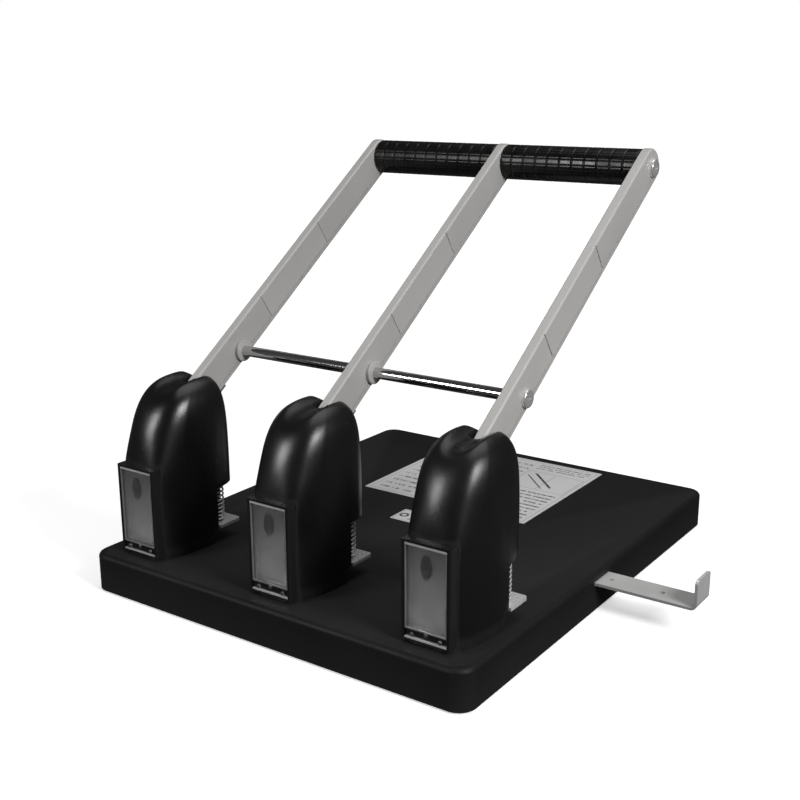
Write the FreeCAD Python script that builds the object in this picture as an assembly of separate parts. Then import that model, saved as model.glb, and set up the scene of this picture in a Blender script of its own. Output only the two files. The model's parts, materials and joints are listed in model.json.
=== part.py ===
"""Heavy-duty three hole punch: a wide paper platform, three punch heads and one long loop handle.

Units are millimetres. +Z is up, the user stands at -Y, the heads are at the back (+Y).
The origin is the centre of the base's footprint, on the surface that the feet rest on.
"""
import FreeCAD, Part
import math
import os

V = FreeCAD.Vector

# ---------------------------------------------------------------- driving dimensions
HOLE_SPACING = 107.95            # 4 1/4 inch, the three-hole standard
HEAD_X = {"left": -HOLE_SPACING, "middle": 0.0, "right": HOLE_SPACING}

BASE_WIDTH = 280.7
BASE_DEPTH = 331.0
BASE_TOP = 25.6                  # height of the platform above the table
FOOT_HEIGHT = 1.2
BASE_CORNER_R = 11.0
BASE_EDGE_R = 3.0
BASE_WALL = 2.6
BASE_CEILING = BASE_TOP - 3.0    # underside of the platform
COVER_THICKNESS = 2.0            # bottom cover that keeps the chips in
COVER_GAP = 0.2
COVER_LIP = 5.0
COVER_SCREW_R = 1.8
COVER_SCREW_HEAD_R = 3.4
COVER_SCREW_HEAD_HEIGHT = 0.8
COVER_SCREW_LENGTH = 12.0
COVER_SCREW_INSETS = (30.0, 100.0)
FOOT_R = 9.0
FOOT_INSETS = (16.0, 20.0)
FOOT_CHAMFER = 0.4
PLATE_THICKNESS = 2.0            # steel plate under the platform that ties the heads together
PLATE_SIDE_MARGIN = 8.0
PLATE_DEPTHS = (17.0, 88.0)
PLATE_CORNER_R = 8.0
BOLT_DEPTHS = (29.0, 45.0)       # two bolts under each head frame
BOLT_R = 2.0
BOLT_HEAD_R = 3.8
BOLT_HEAD_HEIGHT = 2.6
NUT_R = 4.0
NUT_HEIGHT = 3.0
BOLT_TIP = 2.0

PUNCH_DEPTH = 66.0               # punch axis, measured from the back face
STOP_DEPTH = 54.5                # paper stop: holes sit 11.5 mm from the paper's edge
PUNCH_R = 3.5
PUNCH_TIP = 36.3                 # height of the cutting edge at rest
DIE_R = 8.0

THROAT_PLATE_Z = (35.0, 37.0)
THROAT_HALF_WIDTH = 25.0
THROAT_FRONT_DEPTH = 78.0
THROAT_CORNER_R = 2.5
TONGUE_HALF_WIDTH = 9.9          # the plate's tail, which runs back under the head
TONGUE_DEPTH = 30.0
TONGUE_GAP = 0.2

POST_X = 15.0                    # two spring posts beside each punch
POST_R = 3.2
POST_TOP = 92.0
POST_CHAMFER = 0.8
POST_TAIL_R = 2.7
SPRING_R = 4.8                   # to the wire's centre
SPRING_WIRE_R = 0.6
SPRING_Z = (37.75, 71.2)
SPRING_TURNS = 13

CARRIER_Z = (72.0, 82.0)         # cross head that the lever pushes down
CARRIER_HALF_WIDTH = 20.2
CARRIER_HALF_DEPTH = 5.2
CARRIER_CORNER_R = 4.0
EAR_X = (4.0, 7.0)
EAR_R = 4.0
PUNCH_SEAT = 6.0
COLLAR_R = 5.5
COLLAR_HEIGHT = 2.0
PUNCH_NOTCH = 1.6
ROLLER_R = 4.0
ROLLER_HALF_WIDTH = 3.6
ROLLER_PIN_R = 2.0
ROLLER_PIN_HALF_LENGTH = 7.6
ROLLER_GAP = 0.35                # between lever and roller at rest

PIVOT_DEPTH = 36.0               # lever pivot
PIVOT_Z = 95.7
PIVOT_R = 4.0
PIVOT_HALF_LENGTH = 13.6
SPACER_R = 7.5
SPACER_GAP = 0.3
RUNNING_CLEARANCE = 0.05
HANDLE_ANGLE = 34.85             # handle above the horizontal, at rest

ARM_THICKNESS = 6.74
ARM_WIDTH = 23.2
ARM_CHAMFER = 1.0
GRIP_ALONG = 287.7               # from the pivot to the grip, along the arm
GRIP_DROP = 1.1
ROD_ALONG = 86.3                 # from the pivot to the cross rod
ROD_DROP = 4.7
ROD_R = 3.5
BOSS_R = 7.3
BOSS_HEIGHT = 2.6
BOSS_EDGE_R = 0.8
GRIP_ROD_R = 5.0
GRIP_TENON_R = 3.5
SLEEVE_R = 12.0
SLEEVE_EDGE_R = 1.2
SLEEVE_CLEARANCE = 0.2
RIB_PITCH = 9.2
RIB_GROOVE_HALF_WIDTH = 0.4
RIB_GROOVE_DEPTH = 0.5
ROD_SCREW = (5.6, 2.4)           # head radius and height
GRIP_SCREW = (6.0, 2.6)
CROSS_SLOT = (2.6, 0.55, 0.9)    # cross recess: half length, half width, depth
GROOVES_ALONG = (121.9, 198.2)
GROOVE_WIDTH = 0.9
GROOVE_DEPTH = 0.5
GROOVE_LAND = 4.0                # uncut strip at the arm's lower edge
SEAM_RISE = -8.0                 # fine line along the arm, above its lower edge
SEAM_SIZE = 0.4
STOP_ALONG = (53.5, 61.0)        # small stop pad under the arm, just outside the head
STOP_THICKNESS = 1.4

HEAD_HALF_WIDTH = 23.8
HEAD_BACK_DEPTH = 13.4
HEAD_FRONT_DEPTH = 80.7
HEAD_WALL = 2.2
DOME_FOOT_Z = 66.0               # the head is a straight prism below this height
DOME_TOP_Z = 134.2
DOME_APEX_Z = 135.4              # where the dome's curves would close, above its flat crown
DOME_APEX_DEPTH = 62.0
DOME_SECTIONS = 13
DOME_SWEEP = 1.35             # radians of the sine that crowds the sections towards the top
# Roundness of the dome's sides, back and front: closeness to the top, and fullness of the shoulder
SIDE_CURVE = (7.8, 2.55)
BACK_CURVE = (1.9, 2.8)
FRONT_CURVE = (2.66, 3.2)
HOLLOW_TOP_Z = 126.4
VALLEY_R = 10.9                  # shallow valley between the two lobes on top of the dome
VALLEY_Z = 129.7
VALLEY_TILT = 4.0
NOTCH_Z = 62.5                   # underside of the overhang above the springs
NOTCH_DEPTH = 58.7               # the overhang starts this far from the back face
INNER_WALL = 2.4
SLOT_HALF_WIDTH = 5.6            # slot in the dome for the lever
SLOT_FRONT_Z = 82.0
SLOT_BACK_DEPTH = 58.2

FRAME_SIDE_X = (10.0, 12.5)      # steel side plates inside a head
FRAME_DEPTHS = (22.0, 51.6)
FRAME_TOP_R = 13.0
FRAME_FOOT = 2.5
FRAME_WEB = 2.5
FRAME_WEB_TOP = 70.0

WINDOW_HALF_WIDTH = 15.7
WINDOW_Z = (27.6, 85.0)
WINDOW_DEPTHS = (11.6, 18.4)
WINDOW_CORNER_R = 0.8
PANE_HALF_WIDTH = 13.3
PANE_Z = (34.2, 83.6)
PANE_THICKNESS = 1.2
RECESS_DEPTH = 0.9               # strip below the pane that carries two screws
RECESS_LIP = 1.2
LINER_SIDE = 0.7
LINER_LIP = 1.4                  # bright lip along the top of the pane
LINER_FOOT = 0.9                 # bright line along the bottom of the frame
OVAL = (7.2, 3.6)                # thumb ring on the pane: half height and half width
OVAL_RIM = 0.8
OVAL_HEIGHT = 0.4
OVAL_DROP = 12.5
WINDOW_SCREW_X = 9.0
WINDOW_SCREW_DROP = 3.0
WINDOW_SCREW_R = 0.8
WINDOW_SCREW_HEAD_R = 1.25
WINDOW_SCREW_LENGTH = 4.0

GUIDE_CENTRE_DEPTH = 159.4       # sliding paper guide, on the user's left
GUIDE_WIDTH = 20.2
GUIDE_Z = (18.2, 20.0)
GUIDE_OUTER_X = -204.6
GUIDE_INNER_X = -58.0
GUIDE_TAB_TOP = 37.2
GUIDE_BEND_R = 2.2
GUIDE_HOLES_X = (-146.1, -179.4)
GUIDE_HOLE_R = 1.8
GUIDE_PLAY = 0.5
GUIDE_TAB_CORNER_R = 2.5
RAIL_WALL = 2.2
RAIL_INNER_X = 8.0
RAIL_FLOOR = 2.4
RAIL_WINDOW_MARGIN = 4.0

SHEET_X = (-64.0, 69.4)          # instruction sheet, glued on the platform
SHEET_DEPTHS = (197.5, 320.0)
LABEL_HALF_WIDTH = 17.5
LABEL_DEPTHS = (156.0, 175.5)
PAPER_THICKNESS = 0.15

# Head outline, half of it: (distance from the centre line, depth) as parts of the full size
HEAD_OUTLINE = [(0.00, 0.000), (0.42, 0.004), (0.62, 0.028), (0.72, 0.085), (0.80, 0.155), (0.88, 0.255),
                (0.95, 0.39), (0.99, 0.53), (1.00, 0.68), (0.965, 0.82), (0.82, 0.93), (0.56, 0.987),
                (0.28, 0.998), (0.00, 1.000)]

# ---------------------------------------------------------------- helpers
def at(depth):
    """Y of a point measured from the base's back face."""
    return BASE_DEPTH / 2 - depth


def box(x0, x1, y0, y1, z0, z1):
    low = V(min(x0, x1), min(y0, y1), min(z0, z1))
    return Part.makeBox(abs(x1 - x0), abs(y1 - y0), abs(z1 - z0), low)


def cyl_x(x0, x1, y, z, radius):
    return Part.makeCylinder(radius, abs(x1 - x0), V(min(x0, x1), y, z), V(1, 0, 0))


def cyl_z(x, y, z0, z1, radius):
    return Part.makeCylinder(radius, abs(z1 - z0), V(x, y, min(z0, z1)), V(0, 0, 1))


def rounded_slab(x0, x1, y0, y1, z0, z1, radius):
    """A slab with rounded vertical corners."""
    slab = box(x0, x1, y0, y1, z0, z1)
    upright = [e for e in slab.Edges if abs(e.BoundBox.ZLength - abs(z1 - z0)) < 1e-6
               and e.BoundBox.XLength < 1e-6 and e.BoundBox.YLength < 1e-6]
    return slab.makeFillet(radius, upright)


def fuse(shapes):
    return shapes[0].multiFuse(shapes[1:]).removeSplitter() if len(shapes) > 1 else shapes[0]


def save(name, shape):
    shape.exportStep(f"parts/{name}.step")


def along_arm(distance, rise):
    """Y and Z of a point on the arm: distance from the pivot, rise above the arm's centre line."""
    angle = math.radians(HANDLE_ANGLE)
    y = at(PIVOT_DEPTH) - distance * math.cos(angle) + rise * math.sin(angle)
    z = PIVOT_Z + distance * math.sin(angle) + rise * math.cos(angle)
    return y, z


def roller_height():
    """Height of the roller's centre when it nearly touches the lever's lower edge."""
    angle = math.radians(HANDLE_ANGLE)
    reach = PUNCH_DEPTH - PIVOT_DEPTH
    return PIVOT_Z + reach * math.tan(angle) - (ARM_WIDTH / 2 + ROLLER_R + ROLLER_GAP) / math.cos(angle)


# ---------------------------------------------------------------- base
def base_shell():
    half_w = BASE_WIDTH / 2
    half_d = BASE_DEPTH / 2
    body = rounded_slab(-half_w, half_w, -half_d, half_d, FOOT_HEIGHT, BASE_TOP, BASE_CORNER_R)
    rim = [e for e in body.Edges if e.BoundBox.ZMin > BASE_TOP - 1e-4]
    body = body.makeFillet(BASE_EDGE_R, rim)
    inner_r = BASE_CORNER_R - BASE_WALL
    hollow = rounded_slab(-half_w + BASE_WALL, half_w - BASE_WALL, -half_d + BASE_WALL, half_d - BASE_WALL,
                          FOOT_HEIGHT, BASE_CEILING, inner_r)
    body = body.cut(hollow)
    holes = [cyl_z(x, at(PUNCH_DEPTH), BASE_CEILING, BASE_TOP, DIE_R) for x in HEAD_X.values()]
    holes += [cyl_z(x, y, BASE_CEILING, BASE_TOP, BOLT_R) for x, y in bolt_places()]
    low, high = guide_slot_y()
    holes.append(box(-half_w - 1, -half_w + BASE_WALL + 1, low, high,
                     GUIDE_Z[0] - GUIDE_PLAY, GUIDE_Z[1] + GUIDE_PLAY))
    return body.cut(fuse(holes))


def guide_slot_y():
    centre = at(GUIDE_CENTRE_DEPTH)
    half = GUIDE_WIDTH / 2 + GUIDE_PLAY
    return centre - half, centre + half


def bottom_cover():
    """Clipped on from below, it keeps the paper chips in the base."""
    gap = BASE_WALL + COVER_GAP
    half_w = BASE_WIDTH / 2 - gap
    half_d = BASE_DEPTH / 2 - gap
    plate = rounded_slab(-half_w, half_w, -half_d, half_d, FOOT_HEIGHT, FOOT_HEIGHT + COVER_THICKNESS,
                         BASE_CORNER_R - gap)
    lip = rounded_slab(-half_w, half_w, -half_d, half_d, FOOT_HEIGHT + COVER_THICKNESS,
                       FOOT_HEIGHT + COVER_THICKNESS + COVER_LIP, BASE_CORNER_R - gap)
    inner = rounded_slab(-half_w + COVER_THICKNESS, half_w - COVER_THICKNESS, -half_d + COVER_THICKNESS,
                         half_d - COVER_THICKNESS, FOOT_HEIGHT + COVER_THICKNESS,
                         FOOT_HEIGHT + COVER_THICKNESS + COVER_LIP, BASE_CORNER_R - gap - COVER_THICKNESS)
    body = fuse([plate, lip.cut(inner)])
    holes = [cyl_z(x, y, 0, FOOT_HEIGHT + COVER_THICKNESS, COVER_SCREW_R) for x, y in cover_screw_places()]
    return body.cut(fuse(holes))


def cover_screw_places():
    x = BASE_WIDTH / 2 - COVER_SCREW_INSETS[0]
    y = BASE_DEPTH / 2 - COVER_SCREW_INSETS[1]
    return [(sx * x, sy * y) for sx in (-1, 1) for sy in (-1, 1)]


def cover_screws():
    """Pan head screws, sunk between table and cover, with posts that they bite into."""
    screws = []
    for x, y in cover_screw_places():
        head = cyl_z(x, y, FOOT_HEIGHT - COVER_SCREW_HEAD_HEIGHT, FOOT_HEIGHT, COVER_SCREW_HEAD_R)
        shank = cyl_z(x, y, FOOT_HEIGHT, FOOT_HEIGHT + COVER_SCREW_LENGTH, COVER_SCREW_R)
        screws.append(fuse([head, shank]))
    return Part.makeCompound(screws)


def screw_posts():
    """Posts under the platform that the cover's screws go into."""
    posts = []
    for x, y in cover_screw_places():
        post = cyl_z(x, y, FOOT_HEIGHT + COVER_THICKNESS, BASE_CEILING, COVER_SCREW_HEAD_R)
        posts.append(post.cut(cyl_z(x, y, 0, FOOT_HEIGHT + COVER_SCREW_LENGTH, COVER_SCREW_R)))
    return posts


def rubber_feet():
    """Three feet along each side and one in the middle, where the platform would bend most."""
    half_x = BASE_WIDTH / 2 - FOOT_INSETS[0]
    half_y = BASE_DEPTH / 2 - FOOT_INSETS[1]
    places = [(sx * half_x, sy * half_y) for sx in (-1, 1) for sy in (-1, 0, 1)] + [(0, 0)]
    feet = []
    for x, y in places:
        foot = cyl_z(x, y, 0, FOOT_HEIGHT, FOOT_R)
        rim = [e for e in foot.Edges if e.BoundBox.ZMax < 1e-4]
        feet.append(foot.makeChamfer(FOOT_CHAMFER, rim))
    return Part.makeCompound(feet)


def base_plate():
    """Steel plate that the three head frames are bolted to, under the platform."""
    low = BASE_CEILING - PLATE_THICKNESS
    half_w = BASE_WIDTH / 2 - PLATE_SIDE_MARGIN
    plate = rounded_slab(-half_w, half_w, at(PLATE_DEPTHS[1]), at(PLATE_DEPTHS[0]), low, BASE_CEILING,
                         PLATE_CORNER_R)
    holes = [cyl_z(x, at(PUNCH_DEPTH), low, BASE_CEILING, DIE_R - 2) for x in HEAD_X.values()]
    holes += [cyl_z(x, y, low, BASE_CEILING, BOLT_R) for x, y in bolt_places()]
    return plate.cut(fuse(holes))


def bolt_places():
    return [(x, at(depth)) for x in HEAD_X.values() for depth in BOLT_DEPTHS]


def head_bolts():
    low = BASE_CEILING - PLATE_THICKNESS
    nut_z = BASE_TOP + FRAME_FOOT
    bolts = []
    for x, y in bolt_places():
        head = cyl_z(x, y, low - BOLT_HEAD_HEIGHT, low, BOLT_HEAD_R)
        shank = cyl_z(x, y, low, nut_z + BOLT_TIP, BOLT_R)
        corners = [math.radians(60 * k) for k in range(7)]
        hexagon = Part.makePolygon([V(x + NUT_R * math.cos(a), y + NUT_R * math.sin(a), nut_z)
                                    for a in corners])
        nut = Part.Face(hexagon).extrude(V(0, 0, NUT_HEIGHT))
        bolts.append(fuse([head, shank, nut]))
    return Part.makeCompound(bolts)


def die_bushes():
    """Hardened cutting bushes, flush with the platform."""
    bushes = []
    for x in HEAD_X.values():
        y = at(PUNCH_DEPTH)
        bush = cyl_z(x, y, BASE_CEILING, BASE_TOP, DIE_R)
        bushes.append(bush.cut(cyl_z(x, y, BASE_CEILING, BASE_TOP, PUNCH_R + RUNNING_CLEARANCE)))
    return Part.makeCompound(bushes)


def guide_rail():
    """Channel under the platform that the paper guide slides in."""
    low, high = guide_slot_y()
    edge = -BASE_WIDTH / 2
    floor = GUIDE_Z[0] - RAIL_FLOOR
    rail = box(edge + BASE_WALL + COVER_GAP, RAIL_INNER_X, low - RAIL_WALL, high + RAIL_WALL,
               floor, BASE_CEILING)
    channel = box(edge, RAIL_INNER_X + 1, low, high, GUIDE_Z[0] - GUIDE_PLAY, GUIDE_Z[1] + GUIDE_PLAY)
    window = box(edge + 5 * RAIL_WINDOW_MARGIN, RAIL_INNER_X - 3 * RAIL_WINDOW_MARGIN,
                 low + RAIL_WINDOW_MARGIN, high - RAIL_WINDOW_MARGIN, floor - 1, GUIDE_Z[0])
    return rail.cut(fuse([channel, window]))


def paper_guide():
    """Flat steel strip with its outer end bent up as a stop for the side of the paper."""
    centre = at(GUIDE_CENTRE_DEPTH)
    low = centre - GUIDE_WIDTH / 2
    thickness = GUIDE_Z[1] - GUIDE_Z[0]
    outer_r = GUIDE_BEND_R + thickness
    z0 = GUIDE_Z[0]
    x0 = GUIDE_OUTER_X
    c = math.cos(math.pi / 4)
    outer_mid = V(x0 + outer_r - outer_r * c, low, z0 + outer_r - outer_r * c)
    inner_mid = V(x0 + outer_r - GUIDE_BEND_R * c, low, z0 + outer_r - GUIDE_BEND_R * c)
    points = [V(GUIDE_INNER_X, low, z0), V(x0 + outer_r, low, z0), V(x0, low, z0 + outer_r),
              V(x0, low, GUIDE_TAB_TOP), V(x0 + thickness, low, GUIDE_TAB_TOP),
              V(x0 + thickness, low, z0 + outer_r), V(x0 + outer_r, low, GUIDE_Z[1]),
              V(GUIDE_INNER_X, low, GUIDE_Z[1])]
    edges = [Part.makeLine(points[0], points[1]),
             Part.Arc(points[1], outer_mid, points[2]).toShape(),
             Part.makeLine(points[2], points[3]),
             Part.makeLine(points[3], points[4]),
             Part.makeLine(points[4], points[5]),
             Part.Arc(points[5], inner_mid, points[6]).toShape(),
             Part.makeLine(points[6], points[7]),
             Part.makeLine(points[7], points[0])]
    strip = Part.Face(Part.Wire(edges)).extrude(V(0, GUIDE_WIDTH, 0))
    upright = [e for e in strip.Edges
               if e.BoundBox.ZMin > GUIDE_TAB_TOP - 1e-4 and e.BoundBox.YLength < 1e-4]
    strip = strip.makeFillet(GUIDE_TAB_CORNER_R, upright)
    holes = [cyl_z(x, centre, z0, GUIDE_Z[1], GUIDE_HOLE_R) for x in GUIDE_HOLES_X]
    return strip.cut(fuse(holes))


def instruction_sheet():
    return rounded_slab(SHEET_X[0], SHEET_X[1], at(SHEET_DEPTHS[1]), at(SHEET_DEPTHS[0]),
                        BASE_TOP, BASE_TOP + PAPER_THICKNESS, 1.0)


def small_label():
    return rounded_slab(-LABEL_HALF_WIDTH, LABEL_HALF_WIDTH, at(LABEL_DEPTHS[1]), at(LABEL_DEPTHS[0]),
                        BASE_TOP, BASE_TOP + PAPER_THICKNESS, 1.0)


# ---------------------------------------------------------------- punch heads
def head_section(head_x, z, half_width, back, front, inset):
    """One closed outline of a head at height z, pulled in by inset."""
    half = half_width - inset
    depth_0 = back + inset
    length = front - back - 2 * inset
    right = [V(head_x + half * u, at(depth_0 + length * v), z) for u, v in HEAD_OUTLINE]
    left = [V(head_x - half * u, at(depth_0 + length * v), z) for u, v in HEAD_OUTLINE[-2:0:-1]]
    curve = Part.BSplineCurve()
    curve.interpolate(Points=right + left, PeriodicFlag=True)
    return Part.Wire([curve.toShape()])


def dome_reach(z, curve):
    """How far out the dome is at height z: 1 at its foot, 0 where its curves close."""
    rise = (z - DOME_FOOT_Z) / (DOME_APEX_Z - DOME_FOOT_Z)
    return (1 - rise ** curve[0]) ** (1 / curve[1])


def dome_size(z):
    """Half width, depth of the back and depth of the front, at height z."""
    half_width = HEAD_HALF_WIDTH * dome_reach(z, SIDE_CURVE)
    back = DOME_APEX_DEPTH - (DOME_APEX_DEPTH - HEAD_BACK_DEPTH) * dome_reach(z, BACK_CURVE)
    front = DOME_APEX_DEPTH + (HEAD_FRONT_DEPTH - DOME_APEX_DEPTH) * dome_reach(z, FRONT_CURVE)
    return half_width, back, front


def head_body(head_x, top_z, inset):
    """Straight prism with a dome lofted on top; with an inset it is the hollow inside the shell."""
    wires = []
    for k in range(DOME_SECTIONS):
        part = math.sin(DOME_SWEEP * k / (DOME_SECTIONS - 1)) / math.sin(DOME_SWEEP)
        z = DOME_FOOT_Z + (top_z - DOME_FOOT_Z) * part
        wires.append(head_section(head_x, z, *dome_size(z), inset))
    dome = Part.makeLoft(wires, True, False)
    foot = Part.Face(head_section(head_x, BASE_TOP, *dome_size(DOME_FOOT_Z), inset))
    return dome.fuse(foot.extrude(V(0, 0, DOME_FOOT_Z - BASE_TOP)))


def dome_valley(head_x):
    """Round cutter that lies along the top of the dome and drops a little towards the back."""
    tilt = math.radians(VALLEY_TILT)
    along = V(0, math.cos(tilt), -math.sin(tilt))
    middle = V(head_x, at(DOME_APEX_DEPTH), VALLEY_Z + VALLEY_R)
    return Part.makeCylinder(VALLEY_R, 120, middle - along * 60, along)


def head_cover(head_x):
    """Moulded dome with a lever slot on top, open below the overhang where the springs are."""
    reach = HEAD_HALF_WIDTH + 5
    beyond = HEAD_FRONT_DEPTH + 10
    throat_z = THROAT_PLATE_Z[0]
    hollow = head_body(head_x, HOLLOW_TOP_Z, HEAD_WALL)
    shell = head_body(head_x, DOME_TOP_Z, 0).cut(dome_valley(head_x)).cut(hollow)
    shell = shell.cut(box(head_x - reach, head_x + reach, at(NOTCH_DEPTH), at(beyond), throat_z, NOTCH_Z))
    shell = shell.cut(box(head_x - reach, head_x + reach, at(STOP_DEPTH), at(beyond),
                          BASE_TOP - 1, throat_z))
    walls = [(STOP_DEPTH - INNER_WALL, STOP_DEPTH, BASE_TOP, throat_z),
             (STOP_DEPTH - INNER_WALL, NOTCH_DEPTH, throat_z, throat_z + INNER_WALL),
             (NOTCH_DEPTH - INNER_WALL, NOTCH_DEPTH, throat_z, NOTCH_Z)]
    for back, front, low, high in walls:
        wall = box(head_x - reach, head_x + reach, at(back), at(front), low, high)
        shell = shell.fuse(wall.common(hollow))
    slot = box(head_x - SLOT_HALF_WIDTH, head_x + SLOT_HALF_WIDTH, at(SLOT_BACK_DEPTH), at(beyond),
               SLOT_FRONT_Z, DOME_TOP_Z + 5)
    window = box(head_x - WINDOW_HALF_WIDTH, head_x + WINDOW_HALF_WIDTH, at(WINDOW_DEPTHS[1]), at(5),
                 WINDOW_Z[0], WINDOW_Z[1])
    tongue = box(head_x - TONGUE_HALF_WIDTH - TONGUE_GAP, head_x + TONGUE_HALF_WIDTH + TONGUE_GAP,
                 at(STOP_DEPTH - INNER_WALL - 1), at(NOTCH_DEPTH + 1),
                 THROAT_PLATE_Z[0] - TONGUE_GAP, THROAT_PLATE_Z[1] + TONGUE_GAP)
    return shell.cut(slot).cut(window).cut(tongue)


def head_frame(head_x):
    """Steel U-shaped column that carries the lever's pivot."""
    parts = []
    back, front = FRAME_DEPTHS
    for side in (-1, 1):
        x0 = head_x + side * FRAME_SIDE_X[0]
        x1 = head_x + side * FRAME_SIDE_X[1]
        plate = box(x0, x1, at(back), at(front), BASE_TOP, PIVOT_Z - 4)
        cheek = box(x0, x1, at(PIVOT_DEPTH - FRAME_TOP_R), at(PIVOT_DEPTH + FRAME_TOP_R),
                    PIVOT_Z - 5, PIVOT_Z)
        top = cyl_x(x0, x1, at(PIVOT_DEPTH), PIVOT_Z, FRAME_TOP_R)
        parts += [plate, cheek, top]
    parts.append(box(head_x - FRAME_SIDE_X[1], head_x + FRAME_SIDE_X[1], at(back), at(front),
                     BASE_TOP, BASE_TOP + FRAME_FOOT))
    parts.append(box(head_x - FRAME_SIDE_X[1], head_x + FRAME_SIDE_X[1], at(back), at(back + FRAME_WEB),
                     BASE_TOP, FRAME_WEB_TOP))
    frame = fuse(parts)
    frame = frame.cut(cyl_x(head_x - 20, head_x + 20, at(PIVOT_DEPTH), PIVOT_Z, PIVOT_R))
    holes = [cyl_z(head_x, at(depth), BASE_TOP, BASE_TOP + FRAME_FOOT, BOLT_R) for depth in BOLT_DEPTHS]
    return frame.cut(fuse(holes))


def throat_plate(head_x):
    """Steel plate over the paper throat: it strips the paper off the punch and carries the spring posts."""
    z0, z1 = THROAT_PLATE_Z
    plate = box(head_x - THROAT_HALF_WIDTH, head_x + THROAT_HALF_WIDTH, at(NOTCH_DEPTH + TONGUE_GAP),
                at(THROAT_FRONT_DEPTH), z0, z1)
    front = [e for e in plate.Edges if abs(e.BoundBox.ZLength - (z1 - z0)) < 1e-6
             and e.BoundBox.YMax < at(THROAT_FRONT_DEPTH) + 1e-4]
    plate = plate.makeFillet(THROAT_CORNER_R, front)
    tongue = box(head_x - TONGUE_HALF_WIDTH, head_x + TONGUE_HALF_WIDTH, at(TONGUE_DEPTH), at(NOTCH_DEPTH + 1),
                 z0, z1)
    plate = fuse([plate, tongue])
    y = at(PUNCH_DEPTH)
    holes = [cyl_z(head_x, y, z0, z1, PUNCH_R + RUNNING_CLEARANCE)]
    holes += [cyl_z(head_x + side * POST_X, y, z0, z1, POST_TAIL_R) for side in (-1, 1)]
    return plate.cut(fuse(holes))


def guide_posts():
    posts = []
    for head_x in HEAD_X.values():
        for side in (-1, 1):
            x = head_x + side * POST_X
            y = at(PUNCH_DEPTH)
            post = cyl_z(x, y, THROAT_PLATE_Z[1], POST_TOP, POST_R)
            crown = [e for e in post.Edges if e.BoundBox.ZMin > POST_TOP - 1e-4]
            post = post.makeChamfer(POST_CHAMFER, crown)
            posts.append(fuse([post, cyl_z(x, y, THROAT_PLATE_Z[0], THROAT_PLATE_Z[1], POST_TAIL_R)]))
    return Part.makeCompound(posts)


def punch_springs(head_x):
    springs = []
    height = SPRING_Z[1] - SPRING_Z[0]
    for side in (-1, 1):
        helix = Part.makeHelix(height / SPRING_TURNS, height, SPRING_R)
        helix.translate(V(head_x + side * POST_X, at(PUNCH_DEPTH), SPRING_Z[0]))
        start = V(head_x + side * POST_X + SPRING_R, at(PUNCH_DEPTH), SPRING_Z[0])
        section = Part.Wire([Part.makeCircle(SPRING_WIRE_R, start, V(0, 1, 0))])
        springs.append(Part.Wire(helix).makePipeShell([section], True, True))
    return Part.makeCompound(springs)


def punch_carrier(head_x):
    """Cross head: slides on the posts, holds the punch and the roller that the lever presses."""
    y = at(PUNCH_DEPTH)
    z0, z1 = CARRIER_Z
    block = rounded_slab(head_x - CARRIER_HALF_WIDTH, head_x + CARRIER_HALF_WIDTH, y - CARRIER_HALF_DEPTH,
                         y + CARRIER_HALF_DEPTH, z0, z1, CARRIER_CORNER_R)
    ears = []
    for side in (-1, 1):
        x0 = head_x + side * EAR_X[0]
        x1 = head_x + side * EAR_X[1]
        ears.append(box(x0, x1, y - EAR_R, y + EAR_R, z1, roller_height()))
        ears.append(cyl_x(x0, x1, y, roller_height(), EAR_R))
    block = fuse([block] + ears)
    holes = [cyl_z(head_x + side * POST_X, y, z0, z1, POST_R + RUNNING_CLEARANCE) for side in (-1, 1)]
    holes.append(cyl_z(head_x, y, z0, z0 + PUNCH_SEAT, PUNCH_R))
    holes.append(cyl_z(head_x, y, z0, z0 + COLLAR_HEIGHT, COLLAR_R))
    holes.append(cyl_x(head_x - EAR_X[1] - 1, head_x + EAR_X[1] + 1, y, roller_height(), ROLLER_PIN_R))
    return block.cut(fuse(holes))


def punch_pin(head_x):
    """Hardened punch with a collar; its tip is notched so that it cuts from two sides."""
    y = at(PUNCH_DEPTH)
    z0 = CARRIER_Z[0]
    shank = cyl_z(head_x, y, PUNCH_TIP, z0 + PUNCH_SEAT, PUNCH_R)
    collar = cyl_z(head_x, y, z0, z0 + COLLAR_HEIGHT, COLLAR_R)
    notch = cyl_x(head_x - COLLAR_R, head_x + COLLAR_R, y, PUNCH_TIP - PUNCH_NOTCH, PUNCH_R)
    return fuse([shank, collar]).cut(notch)


def cam_roller(head_x):
    y = at(PUNCH_DEPTH)
    roller = cyl_x(head_x - ROLLER_HALF_WIDTH, head_x + ROLLER_HALF_WIDTH, y, roller_height(), ROLLER_R)
    return roller.cut(cyl_x(head_x - EAR_X[0], head_x + EAR_X[0], y, roller_height(), ROLLER_PIN_R))


def roller_pin(head_x):
    half = ROLLER_PIN_HALF_LENGTH
    return cyl_x(head_x - half, head_x + half, at(PUNCH_DEPTH), roller_height(), ROLLER_PIN_R)


def pivot_pins():
    half = PIVOT_HALF_LENGTH
    pins = [cyl_x(x - half, x + half, at(PIVOT_DEPTH), PIVOT_Z, PIVOT_R) for x in HEAD_X.values()]
    return Part.makeCompound(pins)


def pivot_spacers():
    """Washers that keep each arm in the middle of its frame."""
    spacers = []
    for x in HEAD_X.values():
        for side in (-1, 1):
            x0 = x + side * (ARM_THICKNESS / 2 + SPACER_GAP)
            x1 = x + side * FRAME_SIDE_X[0]
            washer = cyl_x(x0, x1, at(PIVOT_DEPTH), PIVOT_Z, SPACER_R)
            spacers.append(washer.cut(cyl_x(x0, x1, at(PIVOT_DEPTH), PIVOT_Z, PIVOT_R)))
    return Part.makeCompound(spacers)


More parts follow.
